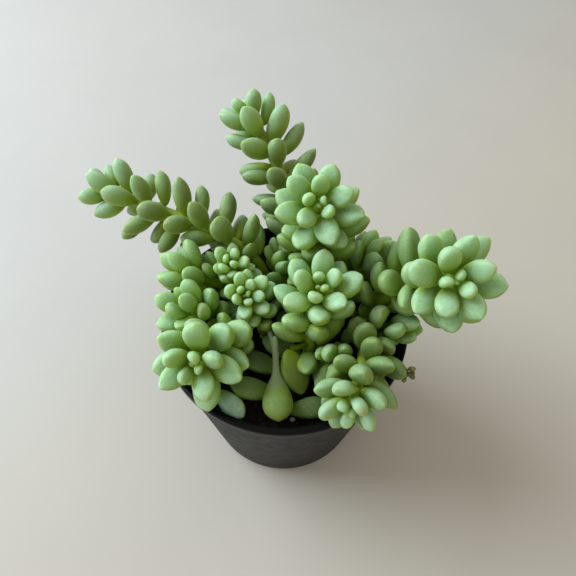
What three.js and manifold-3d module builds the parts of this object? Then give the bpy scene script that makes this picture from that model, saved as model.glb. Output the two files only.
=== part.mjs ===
// A burro's tail in a small round nursery pot.
// Millimetres, +Z up. The origin is the middle of the pot's flat base, and -Y is the front.
import * as THREE from 'three';
import { mergeVertices } from 'three/addons/utils/BufferGeometryUtils.js';
import Module from 'manifold-3d';

const wasm = await Module();
wasm.setup();

// Pot: thin moulded plastic with a narrow lip and five drain holes round a solid middle.
const POT_HEIGHT = 48;
const LIP_RADIUS = 30;
const LIP_HEIGHT = 2.4;
const LIP_INSIDE = 28.2;
const LIP_CHAMFER = 0.5;
const LIP_STEP = 1;
const WALL_TOP_RADIUS = 29.2;
const BASE_RADIUS = 22.5;
const BASE_EDGE = 0.8;
const WALL = 1.2;
const FLOOR = 1.5;
const POT_SIDES = 32;
const DRAIN_HOLES = 5;
const DRAIN_RADIUS = 2.4;
const DRAIN_CIRCLE = 15;
const HOLE_SIDES = 8;
const CUT_PAST = 1;

// Soil: fills the pot to a little below the lip, and swells gently in X and Y.
const FIT = 0.3;
const SOIL_TOP = 43;
const SOIL_BUMP = 0.4;
const SOIL_SWELL_X = [0.21, 1.3];
const SOIL_SWELL_Y = [0.18, -0.4];
const SOIL_RINGS = [20, 12, 5];
const ROOT_DEPTH = 6;
const LYING_MARKS = 8;

// Leaves: plump, widest past the middle, with a short blunt point. Rings are shares of the length.
const LEAF_WIDTH = 0.54;
const LEAF_THICKNESS = 0.88;
const LEAF_SIDES = 5;
const LEAF_SINK = 1.2;
const LEAF_RINGS = [0.42, 0.78];
const BUD_SIDES = 4;
const BUD_RINGS = [0.55];
const BUD_COUNT = 12;
const CORNER_SWELL = 1.06;
const TIPWARD = 1.15;
const PLUMPNESS = 0.58;

// Growth from the bud at a stem's tip down to its grown leaves, counted in leaves. Where two
// stems meet, the lower leaf gives way, and a shoot's leaves count as that much lower.
const GOLDEN_ANGLE = THREE.MathUtils.degToRad(137.508);
const FULL_LEAF = 10.4;
const RIPEN_LENGTH = 5.8;
const LENGTH_SNAP = 1.5;
const RIPEN_WIDTH = 3.3;
const RIPEN_SEAT = 1.3;
const FIRST_LENGTH = 1.5;
const FIRST_WIDTH = 1;
const FIRST_SEAT = 0.6;
const PITCH = 1.1;
const CROWDED = 6;
const OPENING = 11;
const OPENING_SNAP = 2.2;
const BUD_TILT = 10;
const GROWN_TILT = 76;
const SEAT_RADIUS = 1.8;
const TURN_WANDER = 0.22;
const TILT_WANDER = 8;
const SIZE_WANDER = 0.09;
const TILT_ROW = 7;
const SIZE_ROW = 13;
const BARE_FOOT = 0.02;
const GROWN = 99;
const YIELD = 16;

// Leaves lean away from each other, from the stems, the soil and the pot's lip.
const LEAN_ROUNDS = 60;
const SETTLE_ROUNDS = 12;
const LEAN_STEP = 0.9;
const LEAN_BACK = 0.06;
const EACH_TAKES = 0.5;
const ROOT_LEVER = 0.35;
const SQUEEZE = 0.86;
const CLEARANCE = 0.3;
const STEM_CLEARANCE = 0.5;
const NECK = 0.3;
const NEAR = 1;
const GROUND_SHARES = [0.5, 0.8, 1];
const GROUND_PRESS = 1;
const STEM_LIMIT = 0.1;
const LEAF_LIMIT = 0.12;
const SHRINK = 0.94;
const SMALLEST = 0.6;
const TINY = 1e-9;
const PARALLEL = 1e-3;
const WELD = 1e-4;

// Lowest height of a leaf at each distance from the middle: over the soil, up inside the pot,
// level across its lip, and free to hang outside it.
const GROUND = [
  [0, SOIL_TOP + 1],
  [LIP_INSIDE - 3.7, SOIL_TOP + 0.5],
  [LIP_INSIDE - 0.7, POT_HEIGHT + 0.5],
  [LIP_RADIUS + 1, POT_HEIGHT + 0.5],
  [LIP_RADIUS + 3, POT_HEIGHT - 6],
  [LIP_RADIUS + 5, 0],
];

// Stems: bendy round stalks that rise straight out of the soil.
const STEM_RADIUS = 1.6;
const STEM_SIDES = 5;
const STEM_STEP = 8;
const STEM_START = 1;
const STEM_RISE = 0.35;
const FOOT_LAP = 0.4;
const FOOT_NARROW = 0.98;
const WALK_STEPS = 64;
const STEM_MARKS = 14;
const MARKED_SHARE = 0.93;
const STALK_STEPS = 6;

// Base is where the stem leaves the soil, and bend is the point that its tip turns away from.
// A stem with starts has lost its buds, and its tip carries a leaf of that order.
const STEMS = [
  { name: 'stem_long_left', base: [-5, 12], bend: [-25.5, 22, 57], tip: [-49.2, 31.4, 59.4],
    leaves: 44, leaf: 9.4, turn: 0, tilt: 72, pitch: 1.45 },
  { name: 'stem_long_back', base: [5, 17], bend: [0.5, 33, 61.5], tip: [-11, 45, 75],
    leaves: 38, leaf: 9.6, turn: 40, tilt: 72, pitch: 1.35 },
  { name: 'stem_back_rosette', base: [9, 9], bend: [7.5, 21, 62], tip: [6.8, 10, 76],
    leaves: 38, leaf: 10.2, turn: 80 },
  { name: 'stem_middle_rosette', base: [5.5, -9.5], bend: [8, 0.5, 53], tip: [7.5, -4, 65],
    leaves: 36, leaf: 10.2, turn: 20 },
  { name: 'stem_young_rosette', base: [-5, -3], bend: [-10, 3.5, 50.5], tip: [-9, -2, 59],
    leaves: 26, leaf: 6.6, turn: 60, colour: 'youngLeaf' },
  { name: 'stem_front_left_rosette', base: [-13, -7], bend: [-19.2, -11.5, 50.5], tip: [-17.9, -19.5, 59],
    leaves: 32, leaf: 10.6, turn: 10 },
  { name: 'stem_right_rosette', base: [19, 1], bend: [36, 4, 60.5], tip: [32.3, -9, 75],
    leaves: 44, leaf: 11, turn: 100 },
  { name: 'stem_front_right_rosette', base: [19.5, -6], bend: [17.8, -16, 53.5], tip: [13.4, -27.3, 57],
    leaves: 30, leaf: 8.8, turn: 0 },
  { name: 'shoot_left', base: [-17.5, 2], bend: [-18.5, -3.5, 49.5], tip: [-21.8, -4.5, 56.5],
    leaves: 18, leaf: 9, turn: 50, starts: 5, yields: YIELD, colour: 'shadedLeaf' },
  { name: 'shoot_right', base: [17, 13], bend: [17.5, 10, 50], tip: [20.8, 11.5, 56],
    leaves: 18, leaf: 10, turn: 30, starts: 5, yields: YIELD, colour: 'shadedLeaf' },
  { name: 'shoot_young_left', base: [-10.4, 8], bend: [-12.8, 8.2, 51.5], tip: [-12.8, 6.4, 59.8],
    leaves: 20, leaf: 6.2, turn: 0, starts: 3, colour: 'youngLeaf' },
  { name: 'shoot_back_left', base: [-16, 10], bend: [-18.5, 7, 51], tip: [-24.6, 7.3, 55],
    leaves: 18, leaf: 9.4, turn: 30, starts: 5, yields: YIELD, colour: 'shadedLeaf' },
  { name: 'shoot_middle', base: [1, 4], bend: [-2.5, 13, 48], tip: [-2.5, 13.5, 53],
    leaves: 14, leaf: 8, turn: 30, starts: 4, yields: YIELD, colour: 'shadedLeaf' },
  { name: 'shoot_low_right', base: [23.5, -1.5], bend: [23, -3, 47], tip: [23.5, -5, 53],
    leaves: 12, leaf: 9.6, turn: 90, starts: 6, yields: YIELD, colour: 'shadedLeaf' },
  { name: 'shoot_front', base: [13, -7], bend: [12, -11, 48], tip: [11.5, -14, 52],
    leaves: 12, leaf: 9.4, turn: 140, starts: 5, yields: YIELD, colour: 'shadedLeaf' },
  { name: 'dried_flower_stub', base: [23.5, -10.5], bend: [25, -13, 52], tip: [27.3, -17.2, 52.5],
    leaves: 7, leaf: 3, turn: 0, radius: 0.7, colour: 'driedStalk' },
];

// Shed leaves lie on the soil: the middle's place, its heading in degrees, and its length.
const SHED_LEAVES = [
  { name: 'shed_leaf_middle', place: [-5.6, -11.8], heading: 160, leaf: 9.6 },
  { name: 'shed_leaf_left', place: [-7.2, -18.6], heading: 170, leaf: 10 },
  { name: 'shed_leaf_front', place: [-11.7, -22.3], heading: -43, leaf: 8.8 },
  { name: 'shed_leaf_right', place: [5.9, -22.7], heading: 8, leaf: 9 },
];

// Two leaves hang down on stalks of their own, one of them far over the soil.
const STALKED_LEAVES = [
  { stem: 'stem_middle_rosette', root: [5.5, -8.5, 49], bend: [2, -8.5, 52.5], neck: [0.8, -11.8, 51.6],
    tip: [4, -19.9, 46.4], width: 6.4, stalk: 0.9 },
  { stem: 'stem_young_rosette', root: [-5, -3, 49], bend: [-2.5, -9, 54], neck: [-1.6, -17.5, 50],
    tip: [-0.9, -26.6, 46.8], width: 6.8, stalk: 0.9 },
];

const COLOURS = {
  pot: 0x2c2e31,
  soil: 0x2b211b,
  leaf: 0x9cc47a,
  youngLeaf: 0xa9cc72,
  shadedLeaf: 0x7fa75c,
  shedLeaf: 0xa8c4a0,
  driedStalk: 0x8a8a52,
};
const ROUGHNESS = { pot: 0.45, soil: 0.95, leaf: 0.5 };

const SCATTER_STEPS = [127.1, 311.7];
const SCATTER_START = 74.7;
const SCATTER_SCALE = 43758.5453;

// Repeatable scatter between -1 and 1.
function scatter(row, k) {
  const [rowStep, step] = SCATTER_STEPS;
  const value = Math.sin(row * rowStep + k * step + SCATTER_START) * SCATTER_SCALE;
  return 2 * (value - Math.floor(value)) - 1;
}

function soilHeight(x, y) {
  const [rateX, shiftX] = SOIL_SWELL_X;
  const [rateY, shiftY] = SOIL_SWELL_Y;
  return SOIL_TOP + SOIL_BUMP * Math.sin(rateX * x + shiftX) * Math.cos(rateY * y + shiftY);
}

function wallInside(z) {
  const rise = z / (POT_HEIGHT - LIP_HEIGHT);
  return BASE_RADIUS + (WALL_TOP_RADIUS - BASE_RADIUS) * rise - WALL;
}

function groundHeight(radius) {
  for (let k = 1; k < GROUND.length; k += 1) {
    const [r0, z0] = GROUND[k - 1];
    const [r1, z1] = GROUND[k];
    if (radius <= r1) {
      return z0 + (z1 - z0) * (radius - r0) / (r1 - r0);
    }
  }
  return 0;
}

// Solids from geometry and back.
function solidOf(geometry) {
  geometry.deleteAttribute('normal');
  geometry.deleteAttribute('uv');
  const merged = mergeVertices(geometry, WELD);
  const corners = [];
  const index = merged.index.array;
  for (let k = 0; k < index.length; k += 3) {
    const [a, b, c] = [index[k], index[k + 1], index[k + 2]];
    if (a !== b && b !== c && c !== a) {
      corners.push(a, b, c);
    }
  }
  return new wasm.Manifold(new wasm.Mesh({
    numProp: 3,
    vertProperties: new Float32Array(merged.attributes.position.array),
    triVerts: new Uint32Array(corners),
  }));
}

function geometryOf(solid) {
  const mesh = solid.getMesh();
  const geometry = new THREE.BufferGeometry();
  geometry.setAttribute('position', new THREE.BufferAttribute(mesh.vertProperties, 3));
  geometry.setIndex(new THREE.BufferAttribute(mesh.triVerts, 1));
  geometry.computeVertexNormals();
  return geometry;
}

// The one outer body of a join: sealed hollows fill and loose scraps go.
function wholeBody(solid) {
  return solid.decompose().reduce((best, body) => (body.volume() > best.volume() ? body : best));
}

function joined(solids) {
  return wholeBody(solids.reduce((sum, solid) => sum.add(solid)));
}

// A turned form about Z from [radius, height] points.
function turned(points, sides) {
  const profile = points.map(([radius, height]) => new THREE.Vector2(radius, height));
  return new THREE.LatheGeometry(profile, sides).rotateX(Math.PI / 2);
}

function tube(curve, radius, steps) {
  const section = new THREE.Shape();
  for (let k = 0; k < STEM_SIDES; k += 1) {
    const angle = (2 * Math.PI * k) / STEM_SIDES;
    const [x, y] = [radius * Math.cos(angle), radius * Math.sin(angle)];
    if (k === 0) {
      section.moveTo(x, y);
    } else {
      section.lineTo(x, y);
    }
  }
  section.closePath();
  return new THREE.ExtrudeGeometry(section, { extrudePath: curve, steps, bevelEnabled: false });
}

function post(x, y, bottom, top, radius, sides) {
  return new THREE.CylinderGeometry(radius, radius, top - bottom, sides)
    .rotateX(Math.PI / 2)
    .translate(x, y, (bottom + top) / 2);
}

// Stem lines.
function stemCurve(stem) {
  const base = new THREE.Vector3(...stem.base, SOIL_TOP + STEM_START);
  const tip = new THREE.Vector3(...stem.tip);
  const rise = STEM_RISE * base.distanceTo(tip);
  const up = base.clone().add(new THREE.Vector3(0, 0, rise));
  return new THREE.CubicBezierCurve3(base, up, new THREE.Vector3(...stem.bend), tip);
}

// The place along a curve, 0 to 1, that lies a given distance back from its end.
function placeBack(curve, distance) {
  let walked = 0;
  let here = curve.getPoint(1);
  for (let k = WALK_STEPS; k > 0; k -= 1) {
    const next = curve.getPoint((k - 1) / WALK_STEPS);
    const stride = here.distanceTo(next);
    if (walked + stride >= distance) {
      return (k - (distance - walked) / stride) / WALK_STEPS;
    }
    walked += stride;
    here = next;
  }
  return 0;
}

// Leaves lie crowded at the bud and a full pitch apart further down.
function spread(age) {
  return age - CROWDED * (1 - Math.exp(-age / CROWDED));
}

// A stem's leaves from its tip down. A stem that has lost its buds starts at an older leaf.
function leavesOf(stem, number) {
  const leaves = [];
  const size = stem.leaf / FULL_LEAF;
  const pitch = size * (stem.pitch ?? PITCH);
  const grownTilt = stem.tilt ?? GROWN_TILT;
  const oldest = stem.starts ?? 0;
  for (let i = 0; i < stem.leaves; i += 1) {
    const age = i + oldest;
    const place = placeBack(stem.curve, pitch * (spread(age) - spread(oldest)));
    if (place < BARE_FOOT) {
      break;
    }
    const along = stem.curve.getTangent(place);
    const across = new THREE.Vector3().crossVectors(along, new THREE.Vector3(0, 1, 0)).normalize();
    const third = new THREE.Vector3().crossVectors(along, across);
    const turn = THREE.MathUtils.degToRad(stem.turn) + i * GOLDEN_ANGLE + TURN_WANDER * scatter(number, i);
    const outward = across.clone().multiplyScalar(Math.cos(turn)).addScaledVector(third, Math.sin(turn));
    const opened = 1 - Math.exp(-((age / OPENING) ** OPENING_SNAP));
    const wander = TILT_WANDER * scatter(number + TILT_ROW, i);
    const tilt = THREE.MathUtils.degToRad(BUD_TILT + (grownTilt - BUD_TILT) * opened + wander);
    const heading = along.clone().multiplyScalar(Math.cos(tilt)).addScaledVector(outward, Math.sin(tilt));
    const grown = stem.leaf * (1 + SIZE_WANDER * scatter(number + SIZE_ROW, i));
    const seat = SEAT_RADIUS * size * (1 - Math.exp(-(age + FIRST_SEAT) / RIPEN_SEAT));
    leaves.push({
      stem: number,
      order: age,
      rank: age + (stem.yields ?? 0),
      root: stem.curve.getPoint(place).addScaledVector(outward, seat),
      heading,
      wanted: heading.clone(),
      along,
      length: grown * (1 - Math.exp(-(((age + FIRST_LENGTH) / RIPEN_LENGTH) ** LENGTH_SNAP))),
      width: grown * LEAF_WIDTH * (1 - Math.exp(-(age + FIRST_WIDTH) / RIPEN_WIDTH)),
    });
  }
  return leaves;
}

// A leaf's core line runs from its neck to the middle of its round end.
function coreLine(leaf) {
  const near = leaf.root.clone().addScaledVector(leaf.heading, NECK * leaf.length);
  const far = leaf.root.clone().addScaledVector(leaf.heading, leaf.length - leaf.width / 2);
  return [near, far];
}

// Nearest places on two core lines, as shares of their lengths.
function nearest([p, q], [r, s]) {
  const u = q.clone().sub(p);
  const v = s.clone().sub(r);
  const w = p.clone().sub(r);
  const [a, b, c, e, f] = [u.dot(u), u.dot(v), u.dot(w), v.dot(v), v.dot(w)];
  const skew = a * e - b * b;
  let first = skew > TINY ? THREE.MathUtils.clamp((b * f - c * e) / skew, 0, 1) : 0;
  let second = (b * first + f) / e;
  if (second < 0) {
    first = THREE.MathUtils.clamp(-c / a, 0, 1);
  } else if (second > 1) {
    first = THREE.MathUtils.clamp((b - c) / a, 0, 1);
  }
  second = THREE.MathUtils.clamp(second, 0, 1);
  return [first, second];
}

function between([p, q], share) {
  return p.clone().lerp(q, share);
}

// A leaf turns about its root, so a push near its tip turns it more.
function lever(share) {
  return ROOT_LEVER + (1 - ROOT_LEVER) * share;
}

function leafGap(one, other) {
  const [first, second] = [coreLine(one), coreLine(other)];
  const [s, t] = nearest(first, second);
  return between(first, s).distanceTo(between(second, t)) - (one.width + other.width) / 2;
}

function markGap(leaf, mark) {
  const [near, far] = coreLine(leaf);
  const line = far.clone().sub(near);
  const share = THREE.MathUtils.clamp(mark.point.clone().sub(near).dot(line) / line.lengthSq(), 0, 1);
  const away = between([near, far], share).sub(mark.point);
  return { share, away, gap: away.length() - mark.radius - leaf.width / 2 };
}

function groundPush(leaf) {
  let push = 0;
  for (const share of GROUND_SHARES) {
    const point = leaf.root.clone().addScaledVector(leaf.heading, (leaf.length - leaf.width / 2) * share);
    const low = groundHeight(Math.hypot(point.x, point.y)) + leaf.width / 2 - point.z;
    push += Math.max(0, low) * EACH_TAKES * share;
  }
  return push;
}

function neighbours(leaves) {
  const pairs = [];
  for (let i = 0; i < leaves.length; i += 1) {
    for (let j = i + 1; j < leaves.length; j += 1) {
      const reach = leaves[i].length + leaves[j].length + NEAR;
      if (leaves[i].root.distanceTo(leaves[j].root) < reach) {
        pairs.push([i, j]);
      }
    }
  }
  return pairs;
}

function lean(leaves, marks) {
  const pairs = neighbours(leaves);
  for (let round = 0; round < LEAN_ROUNDS; round += 1) {
    const lines = leaves.map(coreLine);
    const moves = leaves.map(() => new THREE.Vector3());
    for (const [i, j] of pairs) {
      const sameStem = leaves[i].stem === leaves[j].stem;
      const reach = (leaves[i].width + leaves[j].width) / 2;
      const wanted = sameStem ? reach * SQUEEZE : reach + CLEARANCE;
      const [s, t] = nearest(lines[i], lines[j]);
      const away = between(lines[i], s).sub(between(lines[j], t));
      const distance = away.length() + TINY;
      if (distance < wanted) {
        const push = (EACH_TAKES * (wanted - distance)) / distance;
        moves[i].addScaledVector(away, push * lever(s));
        moves[j].addScaledVector(away, -push * lever(t));
      }
    }
    leaves.forEach((leaf, i) => {
      for (const mark of marks) {
        if (mark.stem !== leaf.stem) {
          const { share, away, gap } = markGap(leaf, mark);
          const short = STEM_CLEARANCE - gap;
          if (short > 0) {
            moves[i].addScaledVector(away, (EACH_TAKES * short * lever(share)) / (away.length() + TINY));
          }
        }
      }
      moves[i].z += groundPush(leaf);
    });
    const spring = round < LEAN_ROUNDS - SETTLE_ROUNDS ? LEAN_BACK : 0;
    leaves.forEach((leaf, i) => {
      if (!leaf.fixed) {
        const back = leaf.wanted.clone().sub(leaf.heading).multiplyScalar(spring);
        leaf.heading.addScaledVector(moves[i], LEAN_STEP / leaf.length).add(back).normalize();
      }
    });
  }
}

function onGround(leaf) {
  return groundPush({ ...leaf, width: leaf.width - GROUND_PRESS }) === 0;
}

// What still touches another stem's leaves, a stem or the ground grows smaller, or isn't there.
function makeRoom(leaves, marks) {
  const shrunk = (leaf) => {
    leaf.length *= SHRINK;
    leaf.width *= SHRINK;
    leaf.scale = (leaf.scale ?? 1) * SHRINK;
    leaf.gone = leaf.scale < SMALLEST;
  };
  for (const leaf of leaves) {
    const touches = () => !onGround(leaf)
      || marks.some((mark) => mark.stem !== leaf.stem && markGap(leaf, mark).gap < STEM_LIMIT);
    while (!leaf.fixed && !leaf.gone && touches()) {
      shrunk(leaf);
    }
  }
  for (const [i, j] of neighbours(leaves)) {
    const [one, other] = [leaves[i], leaves[j]];
    if (one.stem !== other.stem) {
      const smaller = other.fixed || (!one.fixed && one.rank > other.rank) ? one : other;
      while (!one.gone && !other.gone && !smaller.fixed && leafGap(one, other) < LEAF_LIMIT) {
        shrunk(smaller);
      }
    }
  }
  return leaves.filter((leaf) => !leaf.gone);
}

// Leaf and stem solids.
function swell(t) {
  return Math.sin(Math.PI * t ** TIPWARD) ** PLUMPNESS;
}

function leafSolid(leaf, sink) {
  const isBud = leaf.order < BUD_COUNT;
  const half = (leaf.width / 2) * CORNER_SWELL;
  const points = [[0, -sink]];
  for (const t of isBud ? BUD_RINGS : LEAF_RINGS) {
    points.push([half * swell(t), t * leaf.length]);
  }
  points.push([0, leaf.length]);
  const profile = points.map(([radius, along]) => new THREE.Vector2(radius, along));
  const geometry = new THREE.LatheGeometry(profile, isBud ? BUD_SIDES : LEAF_SIDES);
  const side = new THREE.Vector3().crossVectors(leaf.heading, leaf.along);
  if (side.length() < PARALLEL) {
    side.set(1, 0, 0);
  }
  side.normalize();
  const face = new THREE.Vector3().crossVectors(side, leaf.heading);
  const place = new THREE.Matrix4().makeBasis(side, leaf.heading, face).setPosition(leaf.root);
  geometry.scale(1, 1, LEAF_THICKNESS).applyMatrix4(place);
  return solidOf(geometry);
}

function stemSolid(stem) {
  const steps = Math.ceil(stem.curve.getLength() / STEM_STEP);
  const footTop = SOIL_TOP + STEM_START + FOOT_LAP;
  const foot = post(...stem.base, SOIL_TOP - ROOT_DEPTH, footTop, stem.radius * FOOT_NARROW, STEM_SIDES);
  return solidOf(tube(stem.curve, stem.radius, steps)).add(solidOf(foot));
}

function potSolid() {
  const wallTop = POT_HEIGHT - LIP_HEIGHT;
  let pot = solidOf(turned([
    [0, 0],
    [BASE_RADIUS - BASE_EDGE, 0],
    [BASE_RADIUS, BASE_EDGE],
    [WALL_TOP_RADIUS, wallTop],
    [LIP_RADIUS, wallTop + LIP_CHAMFER],
    [LIP_RADIUS, POT_HEIGHT - LIP_CHAMFER],
    [LIP_RADIUS - LIP_CHAMFER, POT_HEIGHT],
    [LIP_INSIDE, POT_HEIGHT],
    [wallInside(wallTop - LIP_STEP), wallTop - LIP_STEP],
    [wallInside(FLOOR), FLOOR],
    [0, FLOOR],
  ], POT_SIDES));
  for (let k = 0; k < DRAIN_HOLES; k += 1) {
    const angle = (2 * Math.PI * (k + 0.5)) / DRAIN_HOLES;
    const [x, y] = [DRAIN_CIRCLE * Math.cos(angle), DRAIN_CIRCLE * Math.sin(angle)];
    pot = pot.subtract(solidOf(post(x, y, -CUT_PAST, FLOOR + CUT_PAST, DRAIN_RADIUS, HOLE_SIDES)));
  }
  return pot;
}

function soilSolid(stems) {
  const bottom = FLOOR + FIT;
  const edge = (z) => wallInside(z) - FIT;
  const rings = SOIL_RINGS.map((radius) => [radius, SOIL_TOP]);
  const geometry = turned([
    [0, bottom],
    [edge(bottom), bottom],
    [edge(SOIL_TOP), SOIL_TOP],
    ...rings,
    [0, SOIL_TOP],
  ], POT_SIDES);
  const points = geometry.attributes.position;
  for (let k = 0; k < points.count; k += 1) {
    if (points.getZ(k) > SOIL_TOP - SOIL_BUMP) {
      points.setZ(k, soilHeight(points.getX(k), points.getY(k)));
    }
  }
  let soil = solidOf(geometry);
  for (const stem of stems) {
    const radius = (stem.radius + FIT) / Math.cos(Math.PI / HOLE_SIDES);
    const bottomOfHole = SOIL_TOP - ROOT_DEPTH - FIT;
    const hole = post(...stem.base, bottomOfHole, SOIL_TOP + 2 * CUT_PAST, radius, HOLE_SIDES);
    soil = soil.subtract(solidOf(hole));
  }
  return soil;
}

function finish(colour, roughness) {
  return new THREE.MeshStandardMaterial({ color: colour, roughness, metalness: 0 });
}

function addNode(group, name, solid, material) {
  const mesh = new THREE.Mesh(geometryOf(solid), material);
  mesh.name = name;
  group.add(mesh);
}

// Everything that grows: stems with their curves, then the leaves on them and the shed ones.
const stems = STEMS.map((stem) => ({ radius: STEM_RADIUS, ...stem, curve: stemCurve(stem) }));

const shed = SHED_LEAVES.map((leaf, k) => {
  const width = leaf.leaf * LEAF_WIDTH;
  const angle = THREE.MathUtils.degToRad(leaf.heading);
  const heading = new THREE.Vector3(Math.cos(angle), Math.sin(angle), 0);
  const root = new THREE.Vector3(...leaf.place, 0).addScaledVector(heading, -leaf.leaf / 2);
  for (let mark = 0; mark <= LYING_MARKS; mark += 1) {
    const share = mark / LYING_MARKS;
    const { x, y } = root.clone().addScaledVector(heading, leaf.leaf * share);
    const below = (width / 2) * LEAF_THICKNESS * swell(share);
    root.z = Math.max(root.z, soilHeight(x, y) + below);
  }
  return {
    name: leaf.name,
    stem: stems.length + k,
    order: GROWN,
    rank: GROWN,
    fixed: true,
    root,
    heading,
    wanted: heading.clone(),
    along: new THREE.Vector3(0, 0, 1),
    length: leaf.leaf,
    width,
  };
});

const stalked = STALKED_LEAVES.map((leaf) => {
  const neck = new THREE.Vector3(...leaf.neck);
  const line = new THREE.Vector3(...leaf.tip).sub(neck);
  const heading = line.clone().normalize();
  return {
    stem: STEMS.findIndex((stem) => stem.name === leaf.stem),
    order: GROWN,
    rank: GROWN,
    fixed: true,
    root: neck,
    heading,
    wanted: heading.clone(),
    along: new THREE.Vector3(0, 0, 1),
    length: line.length(),
    width: leaf.width,
    stalk: leaf.stalk,
    curve: new THREE.QuadraticBezierCurve3(
      new THREE.Vector3(...leaf.root),
      new THREE.Vector3(...leaf.bend),
      neck,
    ),
  };
});

const marks = [];
stems.forEach((stem, number) => {
  for (let k = 0; k < STEM_MARKS; k += 1) {
    const point = stem.curve.getPoint((MARKED_SHARE * k) / (STEM_MARKS - 1));
    marks.push({ stem: number, point, radius: stem.radius });
  }
});
for (const leaf of stalked) {
  for (let k = 0; k <= STALK_STEPS; k += 1) {
    marks.push({ stem: leaf.stem, point: leaf.curve.getPoint(k / STALK_STEPS), radius: leaf.stalk });
  }
}

const sprouted = [...stems.flatMap(leavesOf), ...shed, ...stalked];
lean(sprouted, marks);
const leaves = makeRoom(sprouted, marks);

const plant = new THREE.Group();
addNode(plant, 'pot', potSolid(), finish(COLOURS.pot, ROUGHNESS.pot));
addNode(plant, 'soil', soilSolid(stems), finish(COLOURS.soil, ROUGHNESS.soil));

stems.forEach((stem, number) => {
  const own = leaves.filter((leaf) => leaf.stem === number);
  const solids = [stemSolid(stem), ...own.map((leaf) => leafSolid(leaf, LEAF_SINK))];
  for (const leaf of stalked.filter((each) => each.stem === number)) {
    solids.push(solidOf(tube(leaf.curve, leaf.stalk, STALK_STEPS)));
  }
  const colour = COLOURS[stem.colour ?? 'leaf'];
  addNode(plant, stem.name, joined(solids), finish(colour, ROUGHNESS.leaf));
});

for (const leaf of shed) {
  addNode(plant, leaf.name, leafSolid(leaf, 0), finish(COLOURS.shedLeaf, ROUGHNESS.leaf));
}

export default plant;
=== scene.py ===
"""A burro's tail in a small nursery pot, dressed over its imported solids.

The growth rule is the one that the solids follow, in millimetres. Every mesh is in metres.
"""

import math
import random

import bmesh
import bpy
import numpy as np
from bpy.props import FloatProperty, FloatVectorProperty, IntProperty, PointerProperty
from mathutils import Matrix, Vector


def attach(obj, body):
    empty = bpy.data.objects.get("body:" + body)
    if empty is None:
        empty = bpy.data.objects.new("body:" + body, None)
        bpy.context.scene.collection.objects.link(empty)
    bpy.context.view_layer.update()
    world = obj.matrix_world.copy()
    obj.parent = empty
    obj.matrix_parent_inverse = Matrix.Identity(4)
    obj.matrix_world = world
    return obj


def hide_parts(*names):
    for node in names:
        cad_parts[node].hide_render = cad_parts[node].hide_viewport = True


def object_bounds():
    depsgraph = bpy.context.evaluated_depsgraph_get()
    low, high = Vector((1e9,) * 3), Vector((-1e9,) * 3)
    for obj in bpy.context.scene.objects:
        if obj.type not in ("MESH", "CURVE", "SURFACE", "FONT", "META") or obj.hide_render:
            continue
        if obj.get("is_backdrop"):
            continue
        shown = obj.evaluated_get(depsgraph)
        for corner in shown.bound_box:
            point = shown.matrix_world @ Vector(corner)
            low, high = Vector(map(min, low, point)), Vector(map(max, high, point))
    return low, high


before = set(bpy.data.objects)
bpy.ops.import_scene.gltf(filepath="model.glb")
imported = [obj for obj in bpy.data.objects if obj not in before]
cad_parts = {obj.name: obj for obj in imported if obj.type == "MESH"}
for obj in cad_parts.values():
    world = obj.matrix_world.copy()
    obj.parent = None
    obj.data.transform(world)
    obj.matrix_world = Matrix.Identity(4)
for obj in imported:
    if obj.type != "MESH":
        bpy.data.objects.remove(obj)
CAD_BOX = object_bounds()

bl_info = {
    "name": "Potted burro's tail",
    "version": (1, 0, 0),
    "blender": (4, 5, 0),
    "location": "View3D > Sidebar > Plant",
    "description": "Grows a burro's tail with its pot, soil, shed leaves and stage",
    "category": "Object",
}

MM = 0.001
MERGE = 1e-6

# Pot, in millimetres; dust and a duller finish start below the rim, the lip above them is painted dark as
# shade, and dust gathers low on the wall
POT_HEIGHT = 48
LIP_RADIUS = 30
LIP_HEIGHT = 2.4
LIP_INSIDE = 28.2
LIP_ROUND = 0.5
LIP_ROUND_STEPS = 5
LIP_STEP = 0.1
LIP_EASE = (0.4, 0.3)
LIP_FOOT = 1
WALL_TOP_RADIUS = 29.2
BASE_RADIUS = 22.5
BASE_EDGE = 0.8
EDGE_EASE = 0.2
FLOOR_CORNER = 0.6
WALL = 1.2
FLOOR = 1.5
DRAIN_HOLES = 5
DRAIN_RADIUS = 2.4
DRAIN_CIRCLE = 15
DRAIN_MARGIN = 1.5
DRAIN_STEPS = 24
SOFT_EDGE = 0.2
SOFT_EDGE_STEPS = 2
SOFT_EDGE_FROM = math.radians(40)
SHINE_FADES = 1.0
SHADED_LIP_DEPTH = 2.2
BELOW_LIP = 1.5
LOW_DUST = 18

# Soil, in millimetres; a swell is a wave's turn in each millimetre, and where it starts
FIT = 0.3
SOIL_TOP = 43
SOIL_BUMP = 0.4
SOIL_SWELL_X = (0.21, 1.3)
SOIL_SWELL_Y = (0.18, -0.4)
SOIL_RINGS = 30
SOIL_STEPS = 96
SOIL_GRIT = 0.12
SOIL_SEED = 11
CRUMB_SIZES = (0.35, 1.5)
PERLITE_SIZES = (0.8, 1.5)
PERLITE_TONE = 2.0
GRAIN_SUNK = 0.25
GRAIN_SHAPES = ((0.6, 1.3), (0.6, 1.2), (0.4, 0.9))

# Leaves
LEAF_WIDTH = 0.54
LEAF_THICKNESS = 0.88
TIPWARD = 1.15
PLUMPNESS = 0.58

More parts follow.
